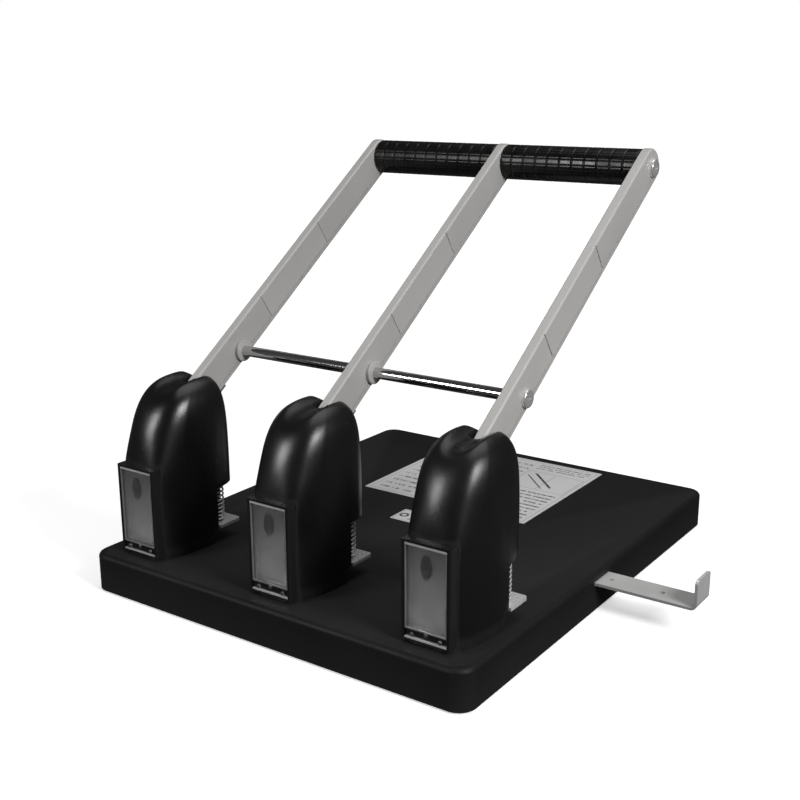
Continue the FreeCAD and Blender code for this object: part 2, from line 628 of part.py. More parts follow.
# ---------------------------------------------------------------- window at the back of each head
def window_frame(head_x):
    d0, d1 = WINDOW_DEPTHS
    z0, z1 = WINDOW_Z
    half = PANE_HALF_WIDTH
    frame = rounded_slab(head_x - WINDOW_HALF_WIDTH, head_x + WINDOW_HALF_WIDTH, at(d0), at(d1), z0, z1,
                         WINDOW_CORNER_R)
    opening = box(head_x - half, head_x + half, at(d0 - 1), at(d1 + 1), PANE_Z[0], PANE_Z[1])
    recess = box(head_x - half, head_x + half, at(d0 - 1), at(d0 + RECESS_DEPTH), z0 + RECESS_LIP, PANE_Z[0])
    frame = frame.cut(fuse([opening, recess]))
    return frame.cut(fuse([window_screw_shank(x, z) for x, z in window_screw_places(head_x)]))


def window_screw_places(head_x):
    z = PANE_Z[0] - WINDOW_SCREW_DROP
    middle = (head_x, PANE_Z[0] - WINDOW_SCREW_HEAD_R)
    return [(head_x - WINDOW_SCREW_X, z), (head_x + WINDOW_SCREW_X, z), middle]


def window_screw_shank(x, z):
    y = at(WINDOW_DEPTHS[0] + RECESS_DEPTH)
    return Part.makeCylinder(WINDOW_SCREW_R, WINDOW_SCREW_LENGTH, V(x, y, z), V(0, -1, 0))


def window_screws():
    """Two small screws and a middle stud below each pane."""
    y = at(WINDOW_DEPTHS[0] + RECESS_DEPTH)
    screws = []
    for head_x in HEAD_X.values():
        for x, z in window_screw_places(head_x):
            head = Part.makeCylinder(WINDOW_SCREW_HEAD_R, RECESS_DEPTH, V(x, y, z), V(0, 1, 0))
            crown = [e for e in head.Edges if e.BoundBox.YMin > y + RECESS_DEPTH - 1e-4]
            head = head.makeFillet(RECESS_DEPTH / 2, crown)
            screws.append(fuse([head, window_screw_shank(x, z)]))
    return Part.makeCompound(screws)


def window_liner(head_x):
    """Bright metal tray behind the pane, lipped along its top, and a bright strip at the frame's foot."""
    d0, d1 = WINDOW_DEPTHS
    half = PANE_HALF_WIDTH
    tray = box(head_x - half, head_x + half, at(d0 + 0.2), at(d1 - 0.4), PANE_Z[0], PANE_Z[1])
    hollow = box(head_x - half + LINER_SIDE, head_x + half - LINER_SIDE, at(d0), at(d1 - 1.4),
                 PANE_Z[0] + LINER_SIDE, PANE_Z[1] - LINER_LIP)
    foot = box(head_x - half, head_x + half, at(d0), at(d0 + RECESS_DEPTH),
               WINDOW_Z[0] + RECESS_LIP, WINDOW_Z[0] + RECESS_LIP + LINER_FOOT)
    return Part.makeCompound([tray.cut(hollow), foot])


def window_pane(head_x):
    """Clear pane with an oval thumb ring near its top."""
    d0 = WINDOW_DEPTHS[0] + 1.0
    half = PANE_HALF_WIDTH - LINER_SIDE
    pane = box(head_x - half, head_x + half, at(d0), at(d0 + PANE_THICKNESS),
               PANE_Z[0] + LINER_SIDE, PANE_Z[1] - LINER_LIP)
    outer = Part.Ellipse(V(0, 0, 0), *OVAL).toShape()
    inner = Part.Ellipse(V(0, 0, 0), OVAL[0] - OVAL_RIM, OVAL[1] - OVAL_RIM).toShape()
    ring = Part.Face(Part.Wire([outer])).extrude(V(0, 0, OVAL_HEIGHT))
    ring = ring.cut(Part.Face(Part.Wire([inner])).extrude(V(0, 0, OVAL_HEIGHT)))
    ring.rotate(V(0, 0, 0), V(0, 0, 1), 90)
    ring.rotate(V(0, 0, 0), V(1, 0, 0), 90)
    ring.translate(V(head_x, at(d0) + OVAL_HEIGHT, PANE_Z[1] - OVAL_DROP))
    return fuse([pane, ring])


# ---------------------------------------------------------------- handle
def arm(head_x, outer_side):
    """Flat bar with round ends, from its pivot in the head up to the grip.

    Bosses on its inner faces hold the rod. It is drawn along +Y from the pivot and then turned
    half round, so its sides are swapped while it is drawn.
    """
    half_t = ARM_THICKNESS / 2
    half_w = ARM_WIDTH / 2
    bar = Part.makeBox(ARM_THICKNESS, GRIP_ALONG, ARM_WIDTH, V(-half_t, 0, -half_w))
    for distance in (0, GRIP_ALONG):
        end = Part.makeCylinder(half_w, ARM_THICKNESS, V(-half_t, distance, 0), V(1, 0, 0))
        bar = bar.fuse(end)
    bar = bar.removeSplitter()
    rims = [e for e in bar.Edges if e.BoundBox.XLength < 1e-6]
    bar = bar.makeChamfer(ARM_CHAMFER, rims)
    bar = bar.cut(fuse(arm_holes() + arm_grooves()))
    for side in (-1, 1):
        if side != outer_side:
            bar = bar.fuse(rod_boss(side))
    bar.rotate(V(0, 0, 0), V(0, 0, 1), 180)
    bar.rotate(V(0, 0, 0), V(1, 0, 0), -HANDLE_ANGLE)
    bar.translate(V(head_x, at(PIVOT_DEPTH), PIVOT_Z))
    return bar


def arm_holes():
    """Bores of an arm that still lies along +Y: pivot, cross rod and grip rod."""
    bores = [(0, 0, PIVOT_R + RUNNING_CLEARANCE),
             (ROD_ALONG, -ROD_DROP, ROD_R),
             (GRIP_ALONG, -GRIP_DROP, GRIP_TENON_R)]
    return [Part.makeCylinder(r, 3 * ARM_THICKNESS, V(-1.5 * ARM_THICKNESS, y, z), V(1, 0, 0))
            for y, z, r in bores]


def arm_grooves():
    """Two cross grooves and a fine seam on each side of an arm that still lies along +Y."""
    half_t = ARM_THICKNESS / 2
    low = GROOVE_LAND - ARM_WIDTH / 2
    cuts = []
    for distance in GROOVES_ALONG:
        for x in (-half_t, half_t - GROOVE_DEPTH):
            corner = V(x, distance - GROOVE_WIDTH / 2, low)
            cuts.append(Part.makeBox(GROOVE_DEPTH, GROOVE_WIDTH, ARM_WIDTH, corner))
    for x in (-half_t, half_t - SEAM_SIZE):
        length = GRIP_ALONG - 2 * ARM_WIDTH
        cuts.append(Part.makeBox(SEAM_SIZE, length, SEAM_SIZE, V(x, ARM_WIDTH, SEAM_RISE)))
    return cuts


def rod_boss(side):
    """Round boss on one face of an arm that still lies along +Y."""
    half_t = ARM_THICKNESS / 2
    x = -half_t - BOSS_HEIGHT if side > 0 else half_t
    boss = Part.makeCylinder(BOSS_R, BOSS_HEIGHT, V(x, ROD_ALONG, -ROD_DROP), V(1, 0, 0))
    rim = [e for e in boss.Edges if abs(abs(e.BoundBox.Center.x) - half_t - BOSS_HEIGHT) < 1e-4]
    boss = boss.makeFillet(BOSS_EDGE_R, rim)
    return boss.cut(Part.makeCylinder(ROD_R, BOSS_HEIGHT, V(x, ROD_ALONG, -ROD_DROP), V(1, 0, 0)))


def arm_stops():
    """Small pads glued under the arms just outside the heads."""
    half_t = ARM_THICKNESS / 2 - ARM_CHAMFER
    start, end = STOP_ALONG
    corner = V(-half_t, start, -ARM_WIDTH / 2 - STOP_THICKNESS)
    pads = []
    for x in HEAD_X.values():
        pad = Part.makeBox(2 * half_t, end - start, STOP_THICKNESS, corner)
        pad.rotate(V(0, 0, 0), V(0, 0, 1), 180)
        pad.rotate(V(0, 0, 0), V(1, 0, 0), -HANDLE_ANGLE)
        pad.translate(V(x, at(PIVOT_DEPTH), PIVOT_Z))
        pads.append(pad)
    return Part.makeCompound(pads)


def cross_rod():
    y, z = along_arm(ROD_ALONG, -ROD_DROP)
    reach = HOLE_SPACING + ARM_THICKNESS / 2
    return cyl_x(-reach, reach, y, z, ROD_R)


def rod_screws(along, drop, head_size):
    """A screw in each end of a rod, with a domed head on the outer face of the arm."""
    y, z = along_arm(along, -drop)
    head_r, head_height = head_size
    half_length, half_width, depth = CROSS_SLOT
    screws = []
    for side in (-1, 1):
        face = side * (HOLE_SPACING + ARM_THICKNESS / 2)
        top = face + side * head_height
        head = cyl_x(face, top, y, z, head_r)
        rim = [e for e in head.Edges if abs(e.BoundBox.Center.x - top) < 1e-4]
        head = head.makeFillet(head_height * 0.45, rim)
        slots = [box(top - side * depth, top + side, y - a, y + a, z - b, z + b)
                 for a, b in ((half_length, half_width), (half_width, half_length))]
        screws.append(head.cut(fuse(slots)))
    return Part.makeCompound(screws)


def grip_rod():
    y, z = along_arm(GRIP_ALONG, -GRIP_DROP)
    half_t = ARM_THICKNESS / 2
    inner = HOLE_SPACING - half_t
    reach = HOLE_SPACING + half_t
    parts = [cyl_x(-reach, reach, y, z, GRIP_TENON_R),
             cyl_x(-inner, -half_t, y, z, GRIP_ROD_R),
             cyl_x(half_t, inner, y, z, GRIP_ROD_R)]
    return fuse(parts)


def grip_sleeve(side):
    """Rubber sleeve between two arms, ribbed all round."""
    y, z = along_arm(GRIP_ALONG, -GRIP_DROP)
    x0 = side * (ARM_THICKNESS / 2 + SLEEVE_CLEARANCE)
    x1 = side * (HOLE_SPACING - ARM_THICKNESS / 2 - SLEEVE_CLEARANCE)
    sleeve = cyl_x(x0, x1, y, z, SLEEVE_R)
    sleeve = sleeve.makeFillet(SLEEVE_EDGE_R, [e for e in sleeve.Edges if e.BoundBox.XLength < 1e-6])
    half = RIB_GROOVE_HALF_WIDTH
    for k in range(int(abs(x1 - x0) / RIB_PITCH) - 1):
        x = x0 + side * RIB_PITCH * (k + 1)
        ring = cyl_x(x - half, x + half, y, z, SLEEVE_R + 1)
        sleeve = sleeve.cut(ring.cut(cyl_x(x - half, x + half, y, z, SLEEVE_R - RIB_GROOVE_DEPTH)))
    return sleeve.cut(cyl_x(x0, x1, y, z, GRIP_ROD_R))


# ---------------------------------------------------------------- build
def main():
    os.makedirs("parts", exist_ok=True)
    save("base_shell", fuse([base_shell()] + screw_posts()))
    save("bottom_cover", bottom_cover())
    save("cover_screws", cover_screws())
    save("rubber_feet", rubber_feet())
    save("base_plate", base_plate())
    save("head_bolts", head_bolts())
    save("die_bushes", die_bushes())
    save("guide_rail", guide_rail())
    save("paper_guide", paper_guide())
    save("instruction_sheet", instruction_sheet())
    save("small_label", small_label())
    save("guide_posts", guide_posts())
    save("pivot_pins", pivot_pins())
    save("pivot_spacers", pivot_spacers())
    save("window_screws", window_screws())

    per_head = [head_cover, head_frame, throat_plate, punch_springs, punch_carrier, punch_pin,
                cam_roller, roller_pin, window_frame, window_liner, window_pane]
    for name, head_x in HEAD_X.items():
        for maker in per_head:
            save(f"{maker.__name__}_{name}", maker(head_x))

    save("arm_left", arm(HEAD_X["left"], -1))
    save("arm_middle", arm(HEAD_X["middle"], 0))
    save("arm_right", arm(HEAD_X["right"], 1))
    save("arm_stops", arm_stops())
    save("cross_rod", cross_rod())
    save("cross_rod_screws", rod_screws(ROD_ALONG, ROD_DROP, ROD_SCREW))
    save("grip_rod", grip_rod())
    save("grip_rod_screws", rod_screws(GRIP_ALONG, GRIP_DROP, GRIP_SCREW))
    save("grip_sleeve_left", grip_sleeve(-1))
    save("grip_sleeve_right", grip_sleeve(1))


main()
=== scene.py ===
import json
import math

import bmesh
import bpy
import numpy as np
from mathutils import Matrix, Vector


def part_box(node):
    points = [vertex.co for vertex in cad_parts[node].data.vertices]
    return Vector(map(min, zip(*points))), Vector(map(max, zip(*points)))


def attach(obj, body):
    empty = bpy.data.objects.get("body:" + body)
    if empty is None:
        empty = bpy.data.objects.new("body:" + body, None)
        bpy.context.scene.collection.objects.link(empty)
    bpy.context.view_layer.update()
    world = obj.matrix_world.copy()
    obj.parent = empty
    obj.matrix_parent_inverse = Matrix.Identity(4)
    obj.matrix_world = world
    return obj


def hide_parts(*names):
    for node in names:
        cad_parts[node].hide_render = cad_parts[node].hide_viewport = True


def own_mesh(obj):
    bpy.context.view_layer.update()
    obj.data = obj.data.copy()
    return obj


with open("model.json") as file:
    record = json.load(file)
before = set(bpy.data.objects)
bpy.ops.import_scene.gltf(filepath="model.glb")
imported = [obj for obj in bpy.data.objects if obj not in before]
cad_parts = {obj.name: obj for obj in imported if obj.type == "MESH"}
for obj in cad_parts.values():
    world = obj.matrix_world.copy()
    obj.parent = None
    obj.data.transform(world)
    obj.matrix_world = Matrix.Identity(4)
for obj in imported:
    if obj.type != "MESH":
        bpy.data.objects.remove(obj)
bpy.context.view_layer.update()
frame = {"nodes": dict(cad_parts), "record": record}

MM = 0.001
HEAD_X = {"left": -107.95, "middle": 0.0, "right": 107.95}     # mm
BACK_Y = 165.5                                                  # mm, back face of the base
NODES = frame["nodes"]


# ---------------------------------------------------------------- stage: camera, floor, light
def aim(obj, eye, target, roll=0.0):
    """Puts obj at eye, looking at target, turned about its own axis by roll (radians)."""
    forward = (Vector(target) - Vector(eye)).normalized()
    side = forward.cross(Vector((0, 0, 1))).normalized()
    up = side.cross(forward)
    right = side * math.cos(roll) + up * math.sin(roll)
    top = up * math.cos(roll) - side * math.sin(roll)
    turn = Matrix((right, top, -forward)).transposed()
    obj.matrix_world = Matrix.Translation(Vector(eye)) @ turn.to_4x4()


def make_camera():
    """Stands behind the punch, to the user's left, a little above the heads."""
    camera = bpy.data.objects.new("camera", bpy.data.cameras.new("camera"))
    bpy.context.scene.collection.objects.link(camera)
    camera.data.lens = 52.45
    camera.data.sensor_width = 36.0
    camera.data.clip_start = 0.01
    eye = Vector((-0.4174, 0.6193, 0.3180))
    look = Vector((0.5515, -0.7898, -0.2684))
    aim(camera, eye, eye + look, math.radians(-0.234))
    bpy.context.scene.camera = camera


def make_floor():
    """A wide pale sheet; the object's gloss sees the dim studio instead of it."""
    mesh = bpy.data.meshes.new("floor")
    bm = bmesh.new()
    bmesh.ops.create_grid(bm, x_segments=2, y_segments=2, size=6.0)
    bm.to_mesh(mesh)
    bm.free()
    floor = bpy.data.objects.new("floor", mesh)
    bpy.context.scene.collection.objects.link(floor)
    floor.data.materials.append(plain_floor())
    floor.visible_glossy = False
    floor.visible_diffuse = False


def plain_floor():
    """Pale paper that glows white away from the object, so that no horizon shows."""
    mat, nt, shader = new_material("floor_paper")
    shader.inputs["Roughness"].default_value = 0.9
    shader.inputs["Emission Color"].default_value = (1.0, 1.0, 1.0, 1.0)
    reach = nt.nodes.new("ShaderNodeVectorMath")
    reach.operation = "LENGTH"
    nt.links.new(coords(nt), reach.inputs[0])
    glow = ramp(nt, reach.outputs["Value"], 0.35, 1.1, 0.5, 1.0)
    nt.links.new(glow, shader.inputs["Emission Strength"])
    tone = mix_colours(nt, noise(nt, 2.0, 2.0), (0.93, 0.93, 0.93), (0.95, 0.95, 0.95))
    nt.links.new(tone, shader.inputs["Base Color"])
    return mat


def area_light(name, eye, target, size, power, size_y=None):
    """A soft box at eye, turned to target."""
    data = bpy.data.lights.new(name, "AREA")
    data.energy = power
    data.size = size
    if size_y:
        data.shape = "RECTANGLE"
        data.size_y = size_y
    lamp = bpy.data.objects.new(name, data)
    bpy.context.scene.collection.objects.link(lamp)
    aim(lamp, eye, target)


def make_light():
    """White surroundings behind the object, a dim studio in its reflections, and three soft boxes."""
    world = bpy.data.worlds.new("studio")
    bpy.context.scene.world = world
    world.use_nodes = True
    nt = world.node_tree
    white = nt.nodes["Background"]
    white.inputs["Color"].default_value = (1.0, 1.0, 1.0, 1.0)
    dim = nt.nodes.new("ShaderNodeBackground")
    dim.inputs["Color"].default_value = (1.0, 1.0, 1.0, 1.0)
    dim.inputs["Strength"].default_value = 0.06
    path = nt.nodes.new("ShaderNodeLightPath")
    mix = nt.nodes.new("ShaderNodeMixShader")
    nt.links.new(path.outputs["Is Camera Ray"], mix.inputs["Fac"])
    nt.links.new(dim.outputs["Background"], mix.inputs[1])
    nt.links.new(white.outputs["Background"], mix.inputs[2])
    nt.links.new(mix.outputs["Shader"], nt.nodes["World Output"].inputs["Surface"])
    centre = (0.0, 0.12, 0.10)
    area_light("soft_back_right", (0.60, 1.15, 0.64), centre, 0.32, 7.0, 0.45)
    area_light("soft_back_left", (-0.92, 0.28, 0.62), centre, 0.28, 8.5, 0.36)
    area_light("soft_top", (-0.2, -0.4, 2.0), (0.0, 0.0, 0.0), 1.6, 14.0)
    bpy.context.scene.view_settings.view_transform = "Standard"


# ---------------------------------------------------------------- material building blocks
def new_material(name):
    mat = bpy.data.materials.new(name)
    mat.use_nodes = True
    nt = mat.node_tree
    return mat, nt, nt.nodes["Principled BSDF"]


def coords(nt):
    """Object coordinates: metres in the model's frame."""
    found = nt.nodes.get("coords")
    if found is None:
        found = nt.nodes.new("ShaderNodeTexCoord")
        found.name = "coords"
    return found.outputs["Object"]


def stretched(nt, scale):
    """Coordinates scaled by (x, y, z), for brushed or drawn surfaces."""
    mapping = nt.nodes.new("ShaderNodeMapping")
    mapping.inputs["Scale"].default_value = scale
    nt.links.new(coords(nt), mapping.inputs["Vector"])
    return mapping.outputs["Vector"]


def noise(nt, scale, detail=3.0, rough=0.5, vector=None):
    """Cloudy 0..1 pattern over the object's coordinates, or over vector."""
    node = nt.nodes.new("ShaderNodeTexNoise")
    node.inputs["Scale"].default_value = scale
    node.inputs["Detail"].default_value = detail
    node.inputs["Roughness"].default_value = rough
    nt.links.new(vector or coords(nt), node.inputs["Vector"])
    return node.outputs["Fac"]


def ramp(nt, fac, low, high, out_low=0.0, out_high=1.0):
    """Maps fac from low..high to out_low..out_high, clamped."""
    node = nt.nodes.new("ShaderNodeMapRange")
    for key, value in (("From Min", low), ("From Max", high), ("To Min", out_low), ("To Max", out_high)):
        node.inputs[key].default_value = value
    nt.links.new(fac, node.inputs["Value"])
    return node.outputs["Result"]


def math_node(nt, operation, a, b=0.0):
    """Output of one Math node; a and b are numbers or sockets, and b is left out where only a counts."""
    node = nt.nodes.new("ShaderNodeMath")
    node.operation = operation
    for socket, value in zip(node.inputs, (a, b)):
        if isinstance(value, (int, float)):
            socket.default_value = value
        else:
            nt.links.new(value, socket)
    return node.outputs[0]


def mix_colours(nt, fac, a, b):
    node = nt.nodes.new("ShaderNodeMix")
    node.data_type = "RGBA"
    nt.links.new(fac, node.inputs[0])
    for socket, value in ((node.inputs[6], a), (node.inputs[7], b)):
        if isinstance(value, tuple):
            socket.default_value = (*value[:3], 1.0)
        else:
            nt.links.new(value, socket)
    return node.outputs[2]


def bump(nt, shader, height, strength, distance):
    """Lets a height pattern tilt the shader's normal."""
    node = nt.nodes.new("ShaderNodeBump")
    node.inputs["Strength"].default_value = strength
    node.inputs["Distance"].default_value = distance
    nt.links.new(height, node.inputs["Height"])
    nt.links.new(node.outputs["Normal"], shader.inputs["Normal"])


def edge_wear(nt):
    """1 on convex edges, 0 elsewhere, from the geometry's pointiness."""
    geometry = nt.nodes.new("ShaderNodeNewGeometry")
    return ramp(nt, geometry.outputs["Pointiness"], 0.53, 0.62)


def axis_mm(nt, axis):
    """One coordinate in millimetres."""
    split = nt.nodes.get("split")
    if split is None:
        split = nt.nodes.new("ShaderNodeSeparateXYZ")
        split.name = "split"
        nt.links.new(coords(nt), split.inputs[0])
    return math_node(nt, "MULTIPLY", split.outputs[axis], 1000.0)


def inside(nt, value, low, high):
    """1 where low < value < high."""
    above = math_node(nt, "GREATER_THAN", value, low)
    return math_node(nt, "MULTIPLY", above, math_node(nt, "LESS_THAN", value, high))


def both(nt, a, b):
    """Product of two masks, or of any two values."""
    return math_node(nt, "MULTIPLY", a, b)


def either(nt, *masks):
    """Largest of several masks."""
    found = masks[0]
    for mask in masks[1:]:
        found = math_node(nt, "MAXIMUM", found, mask)
    return found


# ---------------------------------------------------------------- materials
def textured_plastic(name, tone, roughness, grain, grain_depth, speck=0.25, gloss=0.5):
    """Black moulding with a fine spark-eroded grain, slightly dusty, edges rubbed a little lighter."""
    mat, nt, shader = new_material(name)
    light = tuple(c * 1.6 + 0.004 for c in tone)
    patches = ramp(nt, noise(nt, 14.0, 4.0), 0.35, 0.7)
    fine = ramp(nt, noise(nt, grain * 0.6, 2.0), 0.4, 0.75, 0.0, speck)
    dust = math_node(nt, "MAXIMUM", math_node(nt, "MULTIPLY", patches, 0.35), fine)
    colour = mix_colours(nt, dust, tone, light)
    rubbed = tuple(c * 3.0 for c in light)
    colour = mix_colours(nt, math_node(nt, "MULTIPLY", edge_wear(nt), 0.35), colour, rubbed)
    nt.links.new(colour, shader.inputs["Base Color"])
    shader.inputs["Specular IOR Level"].default_value = gloss
    rough = ramp(nt, noise(nt, 26.0, 5.0), 0.3, 0.7, roughness - 0.05, roughness + 0.06)
    nt.links.new(rough, shader.inputs["Roughness"])
    bump(nt, shader, noise(nt, grain, 2.0, 0.6), 0.35, grain_depth)
    return mat


def painted(name, tone, roughness):
    """Powder coat: faint orange peel, slightly uneven tone, edges worn a touch lighter."""
    mat, nt, shader = new_material(name)
    darker = tuple(c * 0.93 for c in tone)
    lighter = tuple(min(1.0, c * 1.12) for c in tone)
    cloud = ramp(nt, noise(nt, 30.0, 5.0), 0.3, 0.7)
    colour = mix_colours(nt, cloud, darker, tone)
    colour = mix_colours(nt, math_node(nt, "MULTIPLY", edge_wear(nt), 0.6), colour, lighter)
    nt.links.new(colour, shader.inputs["Base Color"])
    shader.inputs["Coat Weight"].default_value = 0.15
    shader.inputs["Coat Roughness"].default_value = 0.3
    rough = ramp(nt, noise(nt, 90.0, 3.0), 0.3, 0.7, roughness - 0.06, roughness + 0.06)
    nt.links.new(rough, shader.inputs["Roughness"])
    bump(nt, shader, noise(nt, 900.0, 2.0), 0.12, 0.0001)
    return mat


def metal(name, tone, roughness, grain=(1.0, 1.0, 1.0), grain_scale=400.0, spread=0.1, depth=0.00004,
          purity=1.0):
    """Metal with a grain direction, faint stains and uneven gloss."""
    mat, nt, shader = new_material(name)
    shader.inputs["Metallic"].default_value = purity
    vector = stretched(nt, grain)
    lines = noise(nt, grain_scale, 3.0, 0.6, vector)
    stains = ramp(nt, noise(nt, 45.0, 5.0), 0.35, 0.75)
    dull = tuple(c * 0.80 for c in tone)
    colour = mix_colours(nt, math_node(nt, "MULTIPLY", stains, 0.5), tone, dull)
    nt.links.new(colour, shader.inputs["Base Color"])
    rough = ramp(nt, lines, 0.3, 0.7, max(0.03, roughness - spread), roughness + spread)
    nt.links.new(rough, shader.inputs["Roughness"])
    bump(nt, shader, lines, 0.25, depth)
    return mat


def galvanised(name, tone, roughness):
    """Zinc-dipped sheet with faint spangles."""
    mat, nt, shader = new_material(name)
    shader.inputs["Metallic"].default_value = 1.0
    cells = nt.nodes.new("ShaderNodeTexVoronoi")
    cells.inputs["Scale"].default_value = 160.0
    nt.links.new(coords(nt), cells.inputs["Vector"])
    flakes = ramp(nt, cells.outputs["Distance"], 0.1, 0.6)
    colour = mix_colours(nt, flakes, tuple(c * 0.85 for c in tone), tone)
    nt.links.new(colour, shader.inputs["Base Color"])
    rough = ramp(nt, cells.outputs["Distance"], 0.0, 0.8, roughness - 0.06, roughness + 0.08)
    nt.links.new(rough, shader.inputs["Roughness"])
    bump(nt, shader, noise(nt, 500.0, 3.0), 0.1, 0.00005)
    return mat


def window_steel(name, tone, roughness):
    """Sheet tray behind a pane: dull inside, bright along its bare top lip and on the strip at the foot."""
    mat, nt, shader = new_material(name)
    shader.inputs["Metallic"].default_value = 0.6
    height = axis_mm(nt, 2)
    bare = either(nt, ramp(nt, height, 82.0, 82.4), ramp(nt, height, 31.0, 30.0))
    stains = ramp(nt, noise(nt, 90.0, 5.0), 0.3, 0.7)
    dull = mix_colours(nt, stains, tuple(c * 0.85 for c in tone), tone)
    bright = mix_colours(nt, stains, (0.80, 0.80, 0.80), (0.97, 0.97, 0.97))
    nt.links.new(mix_colours(nt, bare, dull, bright), shader.inputs["Base Color"])
    nt.links.new(ramp(nt, noise(nt, 200.0, 3.0), 0.3, 0.7, roughness - 0.06, roughness + 0.08),
                 shader.inputs["Roughness"])
    bump(nt, shader, noise(nt, 500.0, 3.0), 0.1, 0.00005)
    return mat


def rubber(name, tone, roughness):
    """Matt moulded rubber with a little dust."""
    mat, nt, shader = new_material(name)
    shader.inputs["Specular IOR Level"].default_value = 0.3
    dusty = tuple(c * 2.2 + 0.004 for c in tone)
    dust = ramp(nt, noise(nt, 60.0, 6.0, 0.65), 0.45, 0.8, 0.0, 0.6)
    nt.links.new(mix_colours(nt, dust, tone, dusty), shader.inputs["Base Color"])
    rough = ramp(nt, noise(nt, 120.0, 4.0), 0.3, 0.7, roughness - 0.07, roughness + 0.1)
    nt.links.new(rough, shader.inputs["Roughness"])
    bump(nt, shader, noise(nt, 1400.0, 2.0), 0.25, 0.00008)
    return mat


def oval_mark(nt):
    """A plain dark oval near the top of each pane."""
    across = math_node(nt, "ABSOLUTE", axis_mm(nt, 0))
    aside = math_node(nt, "ABSOLUTE", math_node(nt, "SUBTRACT", across, HEAD_X["right"]))
    dx = math_node(nt, "DIVIDE", math_node(nt, "MINIMUM", across, aside), 3.7)
    dz = math_node(nt, "DIVIDE", math_node(nt, "SUBTRACT", axis_mm(nt, 2), 71.5), 7.3)
    reach = math_node(nt, "ADD", both(nt, dx, dx), both(nt, dz, dz))
    mottle = ramp(nt, noise(nt, 350.0, 3.0), 0.25, 0.6, 0.55, 1.0)
    return both(nt, ramp(nt, reach, 1.15, 0.75), mottle)


def clear_plastic(name):
    """Smoky clear pane with faint scratches, and a painted reflection that makes it lighter towards its
    foot.
    """
    mat, nt, shader = new_material(name)
    haze = ramp(nt, noise(nt, 60.0, 3.0), 0.3, 0.7)
    # Painted reflection: the pane's tone runs from light at its foot to dark at its top.
    high = ramp(nt, axis_mm(nt, 2), 34.0, 84.0)
    clear = mix_colours(nt, high, (0.74, 0.74, 0.735), (0.31, 0.31, 0.31))
    tone = mix_colours(nt, math_node(nt, "MULTIPLY", haze, 0.3), clear, (0.36, 0.36, 0.36))
    tone = mix_colours(nt, math_node(nt, "MULTIPLY", oval_mark(nt), 0.85), tone, (0.10, 0.10, 0.10))
    nt.links.new(tone, shader.inputs["Base Color"])
    shader.inputs["Transmission Weight"].default_value = 0.85
    shader.inputs["IOR"].default_value = 1.49
    scratches = noise(nt, 900.0, 2.0, 0.5, stretched(nt, (1.0, 1.0, 0.08)))
    nt.links.new(ramp(nt, scratches, 0.45, 0.8, 0.05, 0.16), shader.inputs["Roughness"])
    bump(nt, shader, scratches, 0.05, 0.00003)
    return mat


def printed(name, tone, ink, marks):
    """A glued sheet with grey marks printed on it; marks builds a 0..1 ink mask."""
    mat, nt, shader = new_material(name)
    fibre = ramp(nt, noise(nt, 700.0, 3.0), 0.3, 0.7)
    sheet = mix_colours(nt, fibre, tuple(c * 0.96 for c in tone), tone)
    nt.links.new(mix_colours(nt, marks(nt), sheet, ink), shader.inputs["Base Color"])
    nt.links.new(ramp(nt, noise(nt, 50.0, 2.0), 0.3, 0.7, 0.35, 0.45), shader.inputs["Roughness"])
    bump(nt, shader, noise(nt, 700.0, 3.0), 0.05, 0.00005)
    return mat


def bars(nt, x, y, x_range, y_range, pitch, fill=0.35, gaps=0.42):
    """Rows of short grey dashes inside a rectangle: they stand for small print, with no letters."""
    area = both(nt, inside(nt, x, *x_range), inside(nt, y, *y_range))
    step = math_node(nt, "DIVIDE", y, pitch)
    rows = math_node(nt, "LESS_THAN", math_node(nt, "FRACT", step), fill)
    where = nt.nodes.new("ShaderNodeCombineXYZ")
    nt.links.new(math_node(nt, "MULTIPLY", x, 0.55), where.inputs[0])
    nt.links.new(math_node(nt, "MULTIPLY", math_node(nt, "FLOOR", step), 7.3), where.inputs[1])
    dashes = math_node(nt, "GREATER_THAN", noise(nt, 1.0, 1.0, 0.5, where.outputs[0]), gaps)
    return both(nt, both(nt, area, rows), dashes)


def outline_box(nt, x, y, x_range, y_range, line=0.5):
    """A printed rectangle, only its outline."""
    outer = both(nt, inside(nt, x, *x_range), inside(nt, y, *y_range))
    inner = both(nt, inside(nt, x, x_range[0] + line, x_range[1] - line),
                 inside(nt, y, y_range[0] + line, y_range[1] - line))
    return math_node(nt, "SUBTRACT", outer, inner)


def sheet_marks(nt):
    """Ink of the instruction sheet: rows of dashes, frames and a small sketch of two slanted bars."""
    x = axis_mm(nt, 0)
    y = axis_mm(nt, 1)
    total = math_node(nt, "ADD", x, y)
    sketch = both(nt, either(nt, inside(nt, total, -151.4, -148.6), inside(nt, total, -141.2, -139.6)),
                  both(nt, inside(nt, x, -46.0, -18.0), inside(nt, y, -128.0, -100.0)))
    print_rows = either(nt, bars(nt, x, y, (-58.0, -20.0), (-92.0, -38.0), 6.0),
                        bars(nt, x, y, (-12.0, 62.0), (-148.0, -38.0), 8.5, 0.3, 0.5),
                        bars(nt, x, y, (-58.0, -16.0), (-150.0, -136.0), 4.0, 0.35, 0.45))
    frames = either(nt, outline_box(nt, x, y, (-60.0, -14.0), (-132.0, -96.0)),
                    outline_box(nt, x, y, (-37.5, -14.0), (-132.0, -96.0)),
                    outline_box(nt, x, y, (-61.5, 66.5), (-152.0, -35.0), 0.4))
    ink = either(nt, math_node(nt, "MULTIPLY", print_rows, 0.85),
                 math_node(nt, "MULTIPLY", frames, 0.6), sketch)
    return both(nt, ink, ramp(nt, noise(nt, 300.0, 2.0), 0.2, 0.6, 0.7, 1.0))


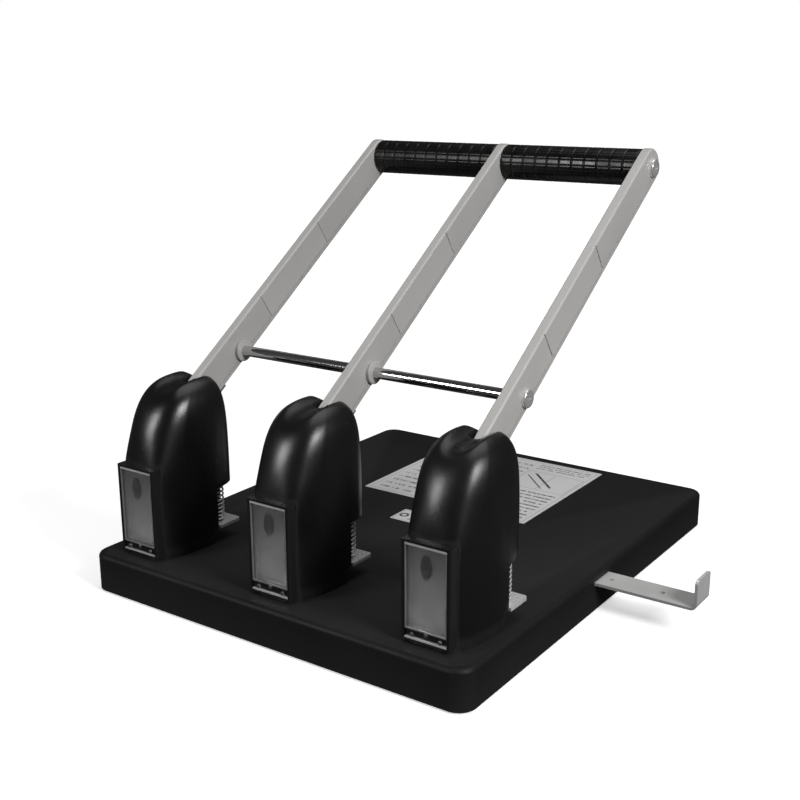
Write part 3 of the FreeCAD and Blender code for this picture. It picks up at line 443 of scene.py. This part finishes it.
def label_marks(nt):
    """Ink of the small label: a frame, a ring and two rows of dashes."""
    x = axis_mm(nt, 0)
    y = axis_mm(nt, 1)
    dx = math_node(nt, "SUBTRACT", x, 12.0)
    dy = math_node(nt, "SUBTRACT", y, -0.3)
    radius = math_node(nt, "SQRT", math_node(nt, "ADD", both(nt, dx, dx), both(nt, dy, dy)))
    ring = inside(nt, radius, 1.9, 3.4)
    rows = bars(nt, x, y, (-15.0, 6.0), (-6.5, 6.0), 4.0, 0.4, 0.4)
    frame_line = outline_box(nt, x, y, (-16.5, 16.5), (-9.0, 8.5), 0.5)
    return either(nt, ring, math_node(nt, "MULTIPLY", rows, 0.7),
                  math_node(nt, "MULTIPLY", frame_line, 0.5))


def grey(value):
    return (value, value, value)


MATERIALS = {
    "black_base_plastic": lambda: textured_plastic(
        "base_plastic", grey(0.007), 0.55, 1500.0, 0.0002, 0.25, 0.22),
    "black_head_plastic": lambda: textured_plastic(
        "head_plastic", grey(0.004), 0.30, 1500.0, 0.00016, 0.1),
    "window_frame_plastic": lambda: textured_plastic(
        "frame_plastic", grey(0.004), 0.25, 2200.0, 0.00005, 0.1),
    "dark_grey_plastic": lambda: textured_plastic(
        "inner_plastic", (0.045, 0.045, 0.048), 0.5, 1500.0, 0.0001),
    "foot_rubber": lambda: rubber("foot_rubber", grey(0.02), 0.7),
    "grip_rubber": lambda: rubber("grip_rubber", grey(0.004), 0.27),
    "galvanised_steel": lambda: galvanised("galvanised_steel", (0.55, 0.56, 0.57), 0.35),
    "liner_steel": lambda: window_steel("liner_steel", grey(0.40), 0.36),
    "plate_zinc": lambda: metal("plate_zinc", grey(0.95), 0.32, purity=0.5),
    "guide_steel": lambda: metal(
        "guide_steel", (0.90, 0.90, 0.89), 0.36, (0.05, 1.0, 1.0), 900.0, 0.04, 0.00001, 0.5),
    "hardened_steel": lambda: metal("hardened_steel", (0.45, 0.45, 0.46), 0.25, (1.0, 1.0, 0.1), 900.0),
    # Polished steel gets a very dark tone as painted shade, so that the posts behind the springs read dark.
    "polished_steel": lambda: metal("polished_steel", grey(0.13), 0.25, spread=0.05),
    "spring_steel": lambda: metal("spring_steel", grey(0.90), 0.30, spread=0.08, purity=0.6),
    "carrier_zinc": lambda: metal("carrier_zinc", (0.42, 0.42, 0.43), 0.45),
    "chromed_rod": lambda: metal("chromed_rod", (0.62, 0.62, 0.63), 0.09, (0.02, 1.0, 1.0), 600.0, 0.04),
    "chromed_screw": lambda: metal("chromed_screw", (0.85, 0.85, 0.86), 0.22, spread=0.06, purity=0.7),
    "zinc_screw": lambda: metal("zinc_screw", (0.30, 0.30, 0.29), 0.32),
    "arm_grey_paint": lambda: painted("arm_paint", (0.455, 0.446, 0.433), 0.38),
    "clear_pane": lambda: clear_plastic("clear_pane"),
    "printed_paper": lambda: printed(
        "printed_paper", (0.71, 0.71, 0.72), (0.05, 0.05, 0.055), sheet_marks),
    "printed_label": lambda: printed("printed_label", (0.66, 0.66, 0.67), grey(0.02), label_marks),
}


def paint_cad():
    """Every CAD node takes its record slot's detailed material."""
    made = {}
    for row in frame["record"]["subparts"]:
        slot = row["material_slot"]
        if slot not in made:
            made[slot] = MATERIALS[slot]()
        node = NODES[row["node"]]
        node.data.materials.clear()
        node.data.materials.append(made[slot])
    return made


# ---------------------------------------------------------------- punch head domes
# Half of a head's outline from above: (across, back to front), as parts of its half width and length
HEAD_OUTLINE = [(0.00, 0.000), (0.42, 0.004), (0.62, 0.028), (0.72, 0.085), (0.80, 0.155), (0.88, 0.255),
                (0.95, 0.39), (0.99, 0.53), (1.00, 0.68), (0.965, 0.82), (0.82, 0.93), (0.56, 0.987),
                (0.28, 0.998), (0.00, 1.000)]
# Sizes in mm: z is height, depth is measured forward from the back of the base
BASE_TOP = 25.6
DOME_FOOT, DOME_APEX, APEX_DEPTH = 66.0, 135.4, 62.0
HALF_WIDTH, BACK_DEPTH, FRONT_DEPTH = 23.8, 13.4, 80.7
WALL, HOLLOW_TOP, INNER_WALL = 2.2, 126.4, 2.4
LOBES_Z, VALLEY_Z, VALLEY_R, VALLEY_EASE = 96.0, 130.4, 10.9, 2.4
SHOULDER_Z, SHOULDER_RISE = 78.0, 30.0
STOP_DEPTH, NOTCH_DEPTH, NOTCH_Z, THROAT_Z = 54.5, 58.7, 62.5, 35.0
SLOT_HALF_WIDTH, SLOT_BACK, SLOT_Z, SLOT_ROUNDING = 5.6, 58.2, (82.0, 140.0), 4.0
WINDOW_HALF_WIDTH, WINDOW_DEPTHS, WINDOW_Z = 15.7, (5.0, 18.4), (27.6, 85.0)
TOP_GAP, POLE_GAPS = 0.15, (0.09, 0.05, 0.025, 0.01, 0.003, 0.0008)     # last rings under the apex
WELD_GAP, EDGE_ROUNDING = 0.12, 0.45
# Shape and fineness; angles in radians
SIDE_CURVE, BACK_CURVE, FRONT_CURVE = (7.8, 2.55), (1.9, 2.8), (2.66, 3.2)     # (a, b) in dome_size
CROWN_ROUNDNESS = 0.55              # 0 keeps the outline's square shoulders, 1 makes them elliptical
VALLEY_REACH = 0.97                 # part of VALLEY_R beyond which the dome is left alone
VALLEY_TILT = math.radians(4.0)
DOME_SWEEP = 1.5                    # how much of a sine crowds the rings towards the top
OUTLINE_POINTS, STRAIGHT_RINGS, DOME_RINGS = 120, 9, 44


def dome_size(z, inset):
    """Half width, back depth and front depth of a head at height z, all in mm."""
    rise = min(1.0, max(0.0, (z - DOME_FOOT) / (DOME_APEX - DOME_FOOT)))
    side, back, front = [(1 - rise ** a) ** (1 / b) for a, b in (SIDE_CURVE, BACK_CURVE, FRONT_CURVE)]
    return (HALF_WIDTH * side - inset, APEX_DEPTH - (APEX_DEPTH - BACK_DEPTH) * back + inset,
            APEX_DEPTH + (FRONT_DEPTH - APEX_DEPTH) * front - inset)


def smooth_outline(count):
    """The head's outline, evenly divided and with its corners eased, as (across, along) shares."""
    half = np.array(HEAD_OUTLINE)
    closed = np.vstack([half, [(-u, v) for u, v in HEAD_OUTLINE[-2:0:-1]], half[:1]])
    scaled = closed * (HALF_WIDTH, FRONT_DEPTH - BACK_DEPTH)
    run = np.concatenate([[0], np.cumsum(np.hypot(*np.diff(scaled, axis=0).T))])
    fine, spread, deviation = 1200, 30, 11.0
    dense = np.linspace(0, run[-1], fine + 1)[:-1]
    points = np.stack([np.interp(dense, run, closed[:, k]) for k in (0, 1)], 1)
    kernel = np.exp(-0.5 * (np.arange(-spread, spread + 1) / deviation) ** 2)
    kernel /= kernel.sum()
    wrapped = np.vstack([points[-spread:], points, points[:spread]])
    eased = np.stack([np.convolve(wrapped[:, k], kernel, "valid") for k in (0, 1)], 1)
    return eased[::fine // count]


def rounder(u, v, z):
    """Eases the outline's back corners towards a half ellipse above the window."""
    share = min(1.0, max(0.0, (z - SHOULDER_Z) / SHOULDER_RISE))
    weight = CROWN_ROUNDNESS * share * share * (3 - 2 * share)
    if v > 0.5:
        return v
    return v + weight * max(0.0, 0.5 * (1 - math.sqrt(max(0.0, 1 - u * u))) - v)


def crown(x, depth, z):
    """Height (mm) of the dome's top with the valley between its two lobes worked in softly."""
    if abs(x) >= VALLEY_R * VALLEY_REACH:
        return z
    floor = VALLEY_Z + VALLEY_R - math.sqrt(VALLEY_R ** 2 - x * x)
    floor += (depth - APEX_DEPTH) * math.tan(VALLEY_TILT)
    level = 130     # near both heights, which keeps the exponents small
    lower = math.exp((level - z) / VALLEY_EASE) + math.exp((level - floor) / VALLEY_EASE)
    return -VALLEY_EASE * math.log(lower) + level


def ring_heights(top, inset, lobes):
    """Heights (mm) of a head's rings: even up the straight part, closer and closer up the dome."""
    heights = list(np.linspace(BASE_TOP - (1 if inset else 0), DOME_FOOT, STRAIGHT_RINGS))
    for k in range(1, DOME_RINGS + 1):
        rise = (top - DOME_FOOT) * math.sin(k / DOME_RINGS * DOME_SWEEP) / math.sin(DOME_SWEEP)
        heights.append(DOME_FOOT + rise)
    if lobes:
        heights += [DOME_APEX - gap for gap in POLE_GAPS]
    return heights


def join_rings(bm, rings):
    """Faces between each ring and the next."""
    for low, high in zip(rings, rings[1:]):
        for k in range(len(low)):
            n = (k + 1) % len(low)
            bm.faces.new((low[k], low[n], high[n], high[k]))


def head_solid(name, top, inset, lobes):
    """A closed head-shaped solid about x = 0, smaller all round by inset mm; lobes gives it its valley."""
    outline = smooth_outline(OUTLINE_POINTS)
    bm = bmesh.new()
    rings = []
    for z in ring_heights(top, inset, lobes):
        half, back, front = dome_size(z, inset)
        ring = []
        for u, v in outline:
            x = half * u
            depth = back + (front - back) * rounder(u, v, z)
            height = crown(x, depth, z) if lobes and z > LOBES_Z else z
            ring.append(bm.verts.new((x * MM, (BACK_Y - depth) * MM, height * MM)))
        rings.append(ring)
    join_rings(bm, rings)
    bm.faces.new(rings[0][::-1])
    if lobes:
        last = rings[-1]
        pole = bm.verts.new((0, (BACK_Y - APEX_DEPTH) * MM, crown(0, APEX_DEPTH, DOME_APEX) * MM))
        for k in range(len(last)):
            bm.faces.new((last[k], last[(k + 1) % len(last)], pole))
    else:
        bm.faces.new(rings[-1])
    bmesh.ops.recalc_face_normals(bm, faces=bm.faces)
    return to_object(bm, name)


def to_object(bm, name):
    """Puts a mesh being built into the scene."""
    mesh = bpy.data.meshes.new(name)
    bm.to_mesh(mesh)
    bm.free()
    found = bpy.data.objects.new(name, mesh)
    bpy.context.scene.collection.objects.link(found)
    return found


def cutter(x0, x1, depth0, depth1, z0, z1, round_back=0.0):
    """A block for cutting, in millimetres about a head's centre line."""
    bm = bmesh.new()
    bmesh.ops.create_cube(bm, size=1.0)
    low = Vector((x0, BACK_Y - depth1, z0)) * MM
    high = Vector((x1, BACK_Y - depth0, z1)) * MM
    for vert in bm.verts:
        vert.co = Vector([low[k] + (vert.co[k] + 0.5) * (high[k] - low[k]) for k in range(3)])
    if round_back:
        upright = [e for e in bm.edges if abs(e.verts[0].co.z - e.verts[1].co.z) > MM
                   and e.verts[0].co.y > (low.y + high.y) / 2]
        bmesh.ops.bevel(bm, geom=upright, offset=round_back * MM, segments=6, profile=0.5, affect="EDGES")
    return to_object(bm, "cutter")


def carve(target, cutters):
    """Takes each cutter out of target and removes the cutters."""
    for piece in cutters:
        step = target.modifiers.new("cut", "BOOLEAN")
        step.operation = "DIFFERENCE"
        step.solver = "EXACT"
        step.object = piece
    settle(target)
    for piece in cutters:
        bpy.data.objects.remove(piece)


def settle(target):
    """Turns target's modifiers into plain mesh."""
    bpy.context.view_layer.update()
    done = bpy.data.meshes.new_from_object(target.evaluated_get(bpy.context.evaluated_depsgraph_get()))
    target.modifiers.clear()
    target.data = done


def weld(target, gap):
    """Joins points closer than gap mm, so that slivers left by the cutting go."""
    bm = bmesh.new()
    bm.from_mesh(target.data)
    bmesh.ops.remove_doubles(bm, verts=bm.verts, dist=gap * MM)
    bmesh.ops.dissolve_degenerate(bm, edges=bm.edges, dist=0.02 * MM)
    bm.to_mesh(target.data)
    bm.free()


def round_edges(target, width, segments, angle):
    """Rounds the edges that turn by more than angle (degrees), width mm back from each."""
    bevel = target.modifiers.new("edges", "BEVEL")
    bevel.width = width * MM
    bevel.segments = segments
    bevel.limit_method = "ANGLE"
    bevel.angle_limit = math.radians(angle)
    bevel.miter_outer = "MITER_ARC"
    settle(target)


def smooth(target, angle):
    """Shades target smoothly, except over edges that turn by more than angle (degrees)."""
    target.data.shade_smooth()
    target.data.set_sharp_from_angle(angle=math.radians(angle))


def make_domes(material):
    """The moulded head covers: two soft lobes on top, a lever slot, and an overhang above the springs."""
    reach, beyond, below = HALF_WIDTH + 5, FRONT_DEPTH + 10, BASE_TOP - 2
    hollow = head_solid("hollow", HOLLOW_TOP, WALL, False)
    carve(hollow, [cutter(-reach, reach, NOTCH_DEPTH - INNER_WALL, beyond, THROAT_Z, NOTCH_Z),
                   cutter(-reach, reach, STOP_DEPTH - INNER_WALL, beyond, below, THROAT_Z + INNER_WALL)])
    upper = head_solid("upper", HOLLOW_TOP, WALL, False)
    carve(upper, [cutter(-reach, reach, 0, beyond, below, NOTCH_Z)])
    dome = head_solid("dome", DOME_APEX - TOP_GAP, 0.0, True)
    carve(dome, [hollow, upper,
                 cutter(-reach, reach, NOTCH_DEPTH, beyond, THROAT_Z, NOTCH_Z),
                 cutter(-reach, reach, STOP_DEPTH, beyond, below, THROAT_Z),
                 cutter(-SLOT_HALF_WIDTH, SLOT_HALF_WIDTH, SLOT_BACK, beyond, *SLOT_Z, SLOT_ROUNDING),
                 cutter(-WINDOW_HALF_WIDTH, WINDOW_HALF_WIDTH, *WINDOW_DEPTHS, *WINDOW_Z)])
    weld(dome, WELD_GAP)
    round_edges(dome, EDGE_ROUNDING, segments=3, angle=50)
    smooth(dome, 40)
    dome.data.materials.append(material)
    for head, head_x in HEAD_X.items():
        cover = bpy.data.objects.new(f"dome_{head}", dome.data.copy())
        cover.data.transform(Matrix.Translation((head_x * MM, 0, 0)))
        bpy.context.scene.collection.objects.link(cover)
        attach(cover, "base")
        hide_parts(f"head_cover_{head}")
    bpy.data.objects.remove(dome)


# ---------------------------------------------------------------- springs and grips
SPRING_Z, SPRING_R, WIRE_R, SPRING_ASIDE, SPRING_DEPTH = (37.7, 71.3), 4.8, 0.6, 15.0, 66.0     # mm
SPRING_TURNS, STEPS_PER_TURN, WIRE_SIDES = 13, 20, 8
CROWDING = 0.045                    # how much closer a spring's turns lie at its two ends


def tube(bm, centres, radius, sides):
    """A round wire through centres, with closed ends."""
    rings = []
    for k, here in enumerate(centres):
        ahead = centres[min(k + 1, len(centres) - 1)] - centres[max(k - 1, 0)]
        across = ahead.cross(Vector((0, 0, 1))).normalized()
        lift = across.cross(ahead).normalized()
        rings.append([bm.verts.new(here + (across * math.cos(a) + lift * math.sin(a)) * radius)
                      for a in (2 * math.pi * i / sides for i in range(sides))])
    join_rings(bm, rings)
    bm.faces.new(rings[0][::-1])
    bm.faces.new(rings[-1])


def coil(x, y):
    """Centre line of one spring that stands at x, y (mm): its turns lie closer at both ends."""
    low, high = SPRING_Z
    steps = SPRING_TURNS * STEPS_PER_TURN
    centres = []
    for k in range(steps + 1):
        part = k / steps
        rise = part - CROWDING * math.sin(2 * math.pi * part) / math.pi
        angle = 2 * math.pi * SPRING_TURNS * part
        centres.append(Vector((x + SPRING_R * math.cos(angle), y + SPRING_R * math.sin(angle),
                               low + (high - low) * rise)) * MM)
    return centres


def make_springs(material):
    """Two coil springs beside each punch."""
    for head, head_x in HEAD_X.items():
        bm = bmesh.new()
        for side in (-1, 1):
            tube(bm, coil(head_x + side * SPRING_ASIDE, BACK_Y - SPRING_DEPTH), WIRE_R * MM, WIRE_SIDES)
        bmesh.ops.recalc_face_normals(bm, faces=bm.faces)
        coils = to_object(bm, f"coils_{head}")
        coils.data.shade_smooth()
        coils.data.materials.append(material)
        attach(coils, "base")
        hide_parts(f"punch_springs_{head}")
        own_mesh(coils)


GRIP_PITCH, GRIP_PANELS, GRIP_SIDES, GRIP_STEP = 9.2 * MM, 16, 192, 0.35 * MM
GRIP_END_R = 1.2 * MM
RING_GROOVE = (0.32 * MM, 0.45 * MM)        # depth and half width
LINE_GROOVE = (0.16 * MM, 0.5 * MM)


def groove(distance, size):
    """How deep a soft groove is at a distance from its middle."""
    depth, half_width = size
    return depth * math.exp(-(distance / half_width) ** 2)


def grip_rings(bm, low, high):
    """Rings of one sleeve that fills the box low..high, with ring and lengthwise grooves."""
    centre_y, centre_z = (low[1] + high[1]) / 2, (low[2] + high[2]) / 2
    radius = (high[2] - low[2]) / 2
    length = high[0] - low[0]
    stations = int(length / GRIP_STEP)
    rings = []
    for k in range(stations + 1):
        along = length * k / stations
        from_edge = max(0.0, GRIP_END_R - min(along, length - along))
        roll_off = GRIP_END_R - math.sqrt(max(0.0, GRIP_END_R ** 2 - from_edge ** 2))
        to_ring = abs((along / GRIP_PITCH + 0.5) % 1.0 - 0.5) * GRIP_PITCH
        ring_cut = groove(to_ring, RING_GROOVE)
        ring = []
        for i in range(GRIP_SIDES):
            turn = i / GRIP_SIDES
            to_line = abs((turn * GRIP_PANELS + 0.5) % 1.0 - 0.5) / GRIP_PANELS * 2 * math.pi * radius
            r = radius - roll_off - max(ring_cut, groove(to_line, LINE_GROOVE))
            angle = 2 * math.pi * turn
            ring.append(bm.verts.new((low[0] + along, centre_y + r * math.cos(angle),
                                      centre_z + r * math.sin(angle))))
        rings.append(ring)
    return rings


def make_grips(material):
    """Rubber sleeves moulded with a grid of shallow grooves."""
    for side in ("left", "right"):
        bm = bmesh.new()
        rings = grip_rings(bm, *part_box(f"grip_sleeve_{side}"))
        join_rings(bm, rings)
        bm.faces.new(rings[0][::-1])
        bm.faces.new(rings[-1])
        bmesh.ops.recalc_face_normals(bm, faces=bm.faces)
        grip = to_object(bm, f"grip_{side}")
        smooth(grip, 50)
        grip.data.materials.append(material)
        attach(grip, "handle")
        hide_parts(f"grip_sleeve_{side}")


# ---------------------------------------------------------------- build
make_camera()
make_floor()
make_light()
slots = paint_cad()
make_domes(slots["black_head_plastic"])
make_springs(slots["spring_steel"])
make_grips(slots["grip_rubber"])
